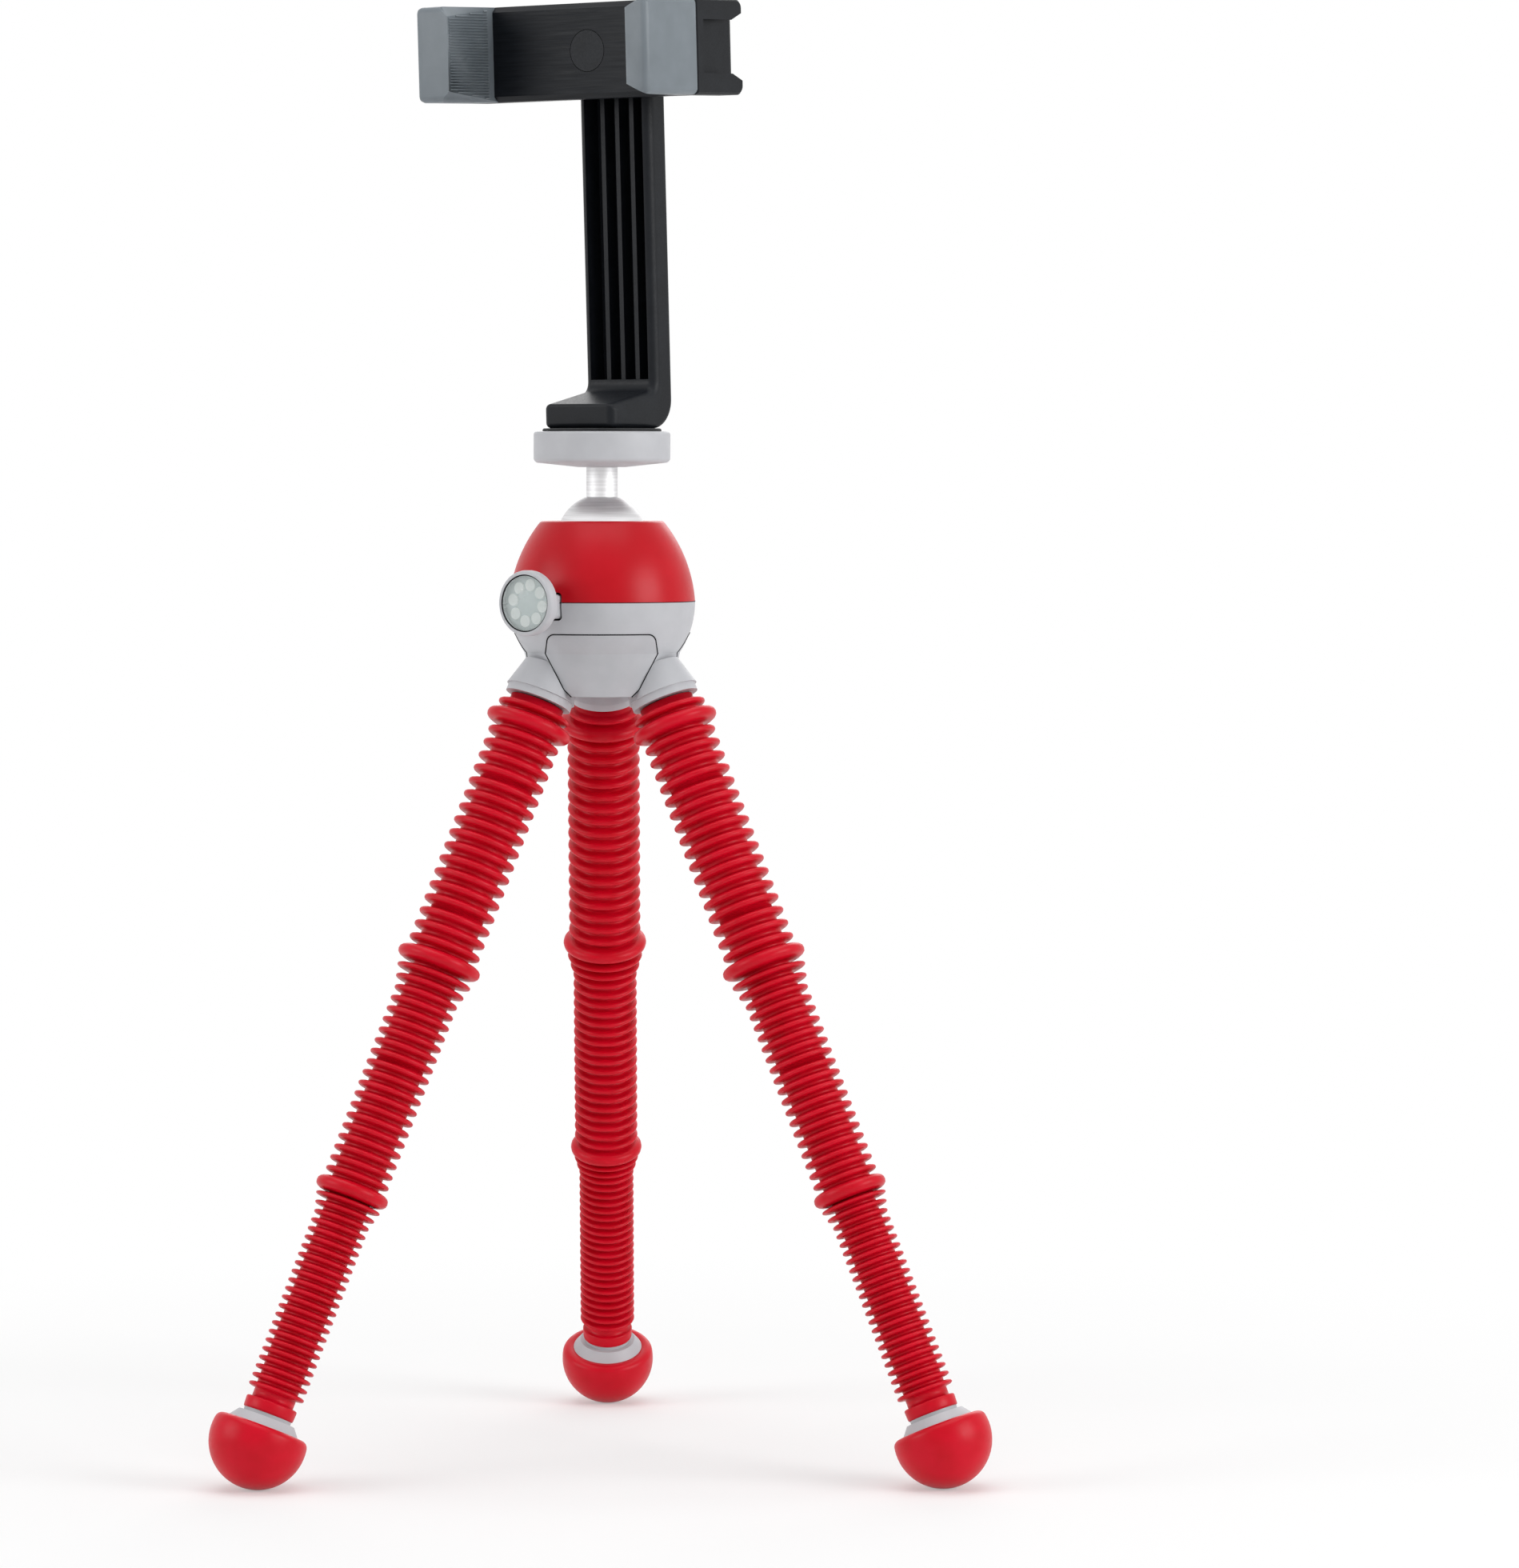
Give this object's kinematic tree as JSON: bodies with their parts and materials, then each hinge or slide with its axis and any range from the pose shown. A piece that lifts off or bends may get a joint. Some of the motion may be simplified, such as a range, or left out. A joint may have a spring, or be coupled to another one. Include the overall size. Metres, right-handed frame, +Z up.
{
  "type": "flexible leg tripod",
  "caption": "Small tripod with bendable ribbed rubber legs on ball feet, a two-colour hub with a ball head, and a spring phone clamp on a ribbed arm.",
  "frame": {"origin": "middle of the space that the feet stand in, on the surface they stand on", "axes": "+Z up, rear leg towards +Y, the two front legs towards -Y"},
  "size_m": [0.1982, 0.175, 0.3785],
  "materials": {
    "red_shell": "satin moulded",
    "grey_plastic": "satin moulded",
    "grey_cover": "satin moulded",
    "core_plastic": "moulded",
    "black_plastic": "fine texture",
    "black_rubber": "matt",
    "red_rubber": "matt",
    "grey_rubber": "satin",
    "pale_plastic": "satin",
    "clear_lens": "clear",
    "ball_metal": "turned",
    "insert_brass": "turned",
    "steel": "zinc plated"
  },
  "bodies": {
    "hub": {"dome_shell": "red_shell", "hub_shell": "grey_plastic", "leg_spider": "grey_plastic", "gap_covers": "grey_cover", "leg_sockets": "core_plastic", "hub_screws": "steel", "knob_collar": "grey_plastic", "seat_block": "core_plastic", "wedge_block": "insert_brass"},
    "seat": {"seat_cup": "core_plastic"},
    "ball": {"ball_stem": "ball_metal", "platform_disc": "grey_plastic", "platform_pad": "black_rubber", "camera_screw": "steel", "phone_arm": "black_plastic", "arm_nut": "insert_brass", "pivot_screw": "steel"},
    "knob": {"lock_knob": "grey_plastic", "knob_dial": "pale_plastic", "knob_lens": "clear_lens", "lock_screw": "steel"},
    "clamp": {"clamp_frame": "black_plastic", "fixed_jaw_pad": "grey_rubber", "pivot_cap": "black_plastic", "jaw_springs": "steel"},
    "slider": {"slide_jaw": "black_plastic", "moving_jaw_pad": "grey_rubber"},
    "left_leg_1": {"left_link_1": "core_plastic", "left_sleeve_1": "red_rubber"},
    "left_leg_2": {"left_link_2": "core_plastic", "left_sleeve_2": "red_rubber"},
    "left_leg_3": {"left_link_3": "core_plastic", "left_sleeve_3": "red_rubber"},
    "left_leg_4": {"left_link_4": "core_plastic", "left_sleeve_4": "red_rubber"},
    "left_foot": {"left_foot_link": "grey_plastic", "left_sleeve_5": "red_rubber", "left_foot_ball": "red_rubber"},
    "right_leg_1": {"right_link_1": "core_plastic", "right_sleeve_1": "red_rubber"},
    "right_leg_2": {"right_link_2": "core_plastic", "right_sleeve_2": "red_rubber"},
    "right_leg_3": {"right_link_3": "core_plastic", "right_sleeve_3": "red_rubber"},
    "right_leg_4": {"right_link_4": "core_plastic", "right_sleeve_4": "red_rubber"},
    "right_foot": {"right_foot_link": "grey_plastic", "right_sleeve_5": "red_rubber", "right_foot_ball": "red_rubber"},
    "rear_leg_1": {"rear_link_1": "core_plastic", "rear_sleeve_1": "red_rubber"},
    "rear_leg_2": {"rear_link_2": "core_plastic", "rear_sleeve_2": "red_rubber"},
    "rear_leg_3": {"rear_link_3": "core_plastic", "rear_sleeve_3": "red_rubber"},
    "rear_leg_4": {"rear_link_4": "core_plastic", "rear_sleeve_4": "red_rubber"},
    "rear_foot": {"rear_foot_link": "grey_plastic", "rear_sleeve_5": "red_rubber", "rear_foot_ball": "red_rubber"}
  },
  "joints": [
    {"name": "ball_pan", "type": "hinge", "parent": "hub", "child": "seat", "pos_m": [0, -0.025, 0.2395], "axis": [0, 0, 1], "continuous": true},
    {"name": "ball_tilt", "type": "hinge", "parent": "seat", "child": "ball", "pos_m": [0, -0.025, 0.2395], "axis": [1, 0, 0], "range_deg": [-42, 42]},
    {"name": "knob_turn", "type": "hinge", "parent": "hub", "child": "knob", "pos_m": [-0.0195, -0.05285, 0.2236], "axis": [-0.5736, -0.8192, 0], "range_deg": [0, 270]},
    {"name": "clamp_turn", "type": "hinge", "parent": "ball", "child": "clamp", "pos_m": [-0.00368, -0.0302, 0.36532], "axis": [-0.5774, -0.8154, -0.0419], "range_deg": [-35, 215]},
    {"name": "jaw_slide", "type": "slide", "parent": "clamp", "child": "slider", "axis": [0.8161, -0.5779, 0], "range_m": [0, 0.035], "stiffness_N_per_m": 200, "springref_m": -0.02, "deforming": ["jaw_springs"]},
    {"name": "left_hip", "type": "hinge", "parent": "hub", "child": "left_leg_1", "pos_m": [-0.01784, -0.0353, 0.19433], "axis": [-0.5, 0.866, 0], "range_deg": [-22, 30], "deforming": ["left_sleeve_1"]},
    {"name": "left_bend_2", "type": "hinge", "parent": "left_leg_1", "child": "left_leg_2", "pos_m": [-0.03083, -0.0428, 0.16], "axis": [0.7937, 0.4582, -0.4002], "range_deg": [-30, 30], "deforming": ["left_sleeve_2"]},
    {"name": "left_bend_3", "type": "hinge", "parent": "left_leg_2", "child": "left_leg_3", "pos_m": [-0.04441, -0.05064, 0.12408], "axis": [0.5, -0.866, 0], "range_deg": [-30, 30], "deforming": ["left_sleeve_3"]},
    {"name": "left_bend_4", "type": "hinge", "parent": "left_leg_3", "child": "left_leg_4", "pos_m": [-0.0575, -0.0582, 0.08946], "axis": [-0.7937, -0.4582, 0.4002], "range_deg": [-30, 30], "deforming": ["left_sleeve_4"]},
    {"name": "left_bend_5", "type": "hinge", "parent": "left_leg_4", "child": "left_foot", "pos_m": [-0.07041, -0.06565, 0.05531], "axis": [-0.5, 0.866, 0], "range_deg": [-30, 30], "deforming": ["left_sleeve_5"]},
    {"name": "right_hip", "type": "hinge", "parent": "hub", "child": "right_leg_1", "pos_m": [0.01784, -0.0353, 0.19433], "axis": [-0.5, -0.866, 0], "range_deg": [-22, 30], "deforming": ["right_sleeve_1"]},
    {"name": "right_bend_2", "type": "hinge", "parent": "right_leg_1", "child": "right_leg_2", "pos_m": [0.03083, -0.0428, 0.16], "axis": [-0.7937, 0.4582, -0.4002], "range_deg": [-30, 30], "deforming": ["right_sleeve_2"]},
    {"name": "right_bend_3", "type": "hinge", "parent": "right_leg_2", "child": "right_leg_3", "pos_m": [0.04441, -0.05064, 0.12408], "axis": [0.5, 0.866, 0], "range_deg": [-30, 30], "deforming": ["right_sleeve_3"]},
    {"name": "right_bend_4", "type": "hinge", "parent": "right_leg_3", "child": "right_leg_4", "pos_m": [0.0575, -0.0582, 0.08946], "axis": [0.7937, -0.4582, 0.4002], "range_deg": [-30, 30], "deforming": ["right_sleeve_4"]},
    {"name": "right_bend_5", "type": "hinge", "parent": "right_leg_4", "child": "right_foot", "pos_m": [0.07041, -0.06565, 0.05531], "axis": [-0.5, -0.866, 0], "range_deg": [-30, 30], "deforming": ["right_sleeve_5"]},
    {"name": "rear_hip", "type": "hinge", "parent": "hub", "child": "rear_leg_1", "pos_m": [0, -0.0044, 0.19433], "axis": [1, 0, 0], "range_deg": [-22, 30], "deforming": ["rear_sleeve_1"]},
    {"name": "rear_bend_2", "type": "hinge", "parent": "rear_leg_1", "child": "rear_leg_2", "pos_m": [0, 0.0106, 0.16], "axis": [0, -0.9164, -0.4002], "range_deg": [-30, 30], "deforming": ["rear_sleeve_2"]},
    {"name": "rear_bend_3", "type": "hinge", "parent": "rear_leg_2", "child": "rear_leg_3", "pos_m": [0, 0.02628, 0.12408], "axis": [-1, 0, 0], "range_deg": [-30, 30], "deforming": ["rear_sleeve_3"]},
    {"name": "rear_bend_4", "type": "hinge", "parent": "rear_leg_3", "child": "rear_leg_4", "pos_m": [0, 0.0414, 0.08946], "axis": [0, 0.9164, 0.4002], "range_deg": [-30, 30], "deforming": ["rear_sleeve_4"]},
    {"name": "rear_bend_5", "type": "hinge", "parent": "rear_leg_4", "child": "rear_foot", "pos_m": [0, 0.05631, 0.05531], "axis": [1, 0, 0], "range_deg": [-30, 30], "deforming": ["rear_sleeve_5"]}
  ]
}
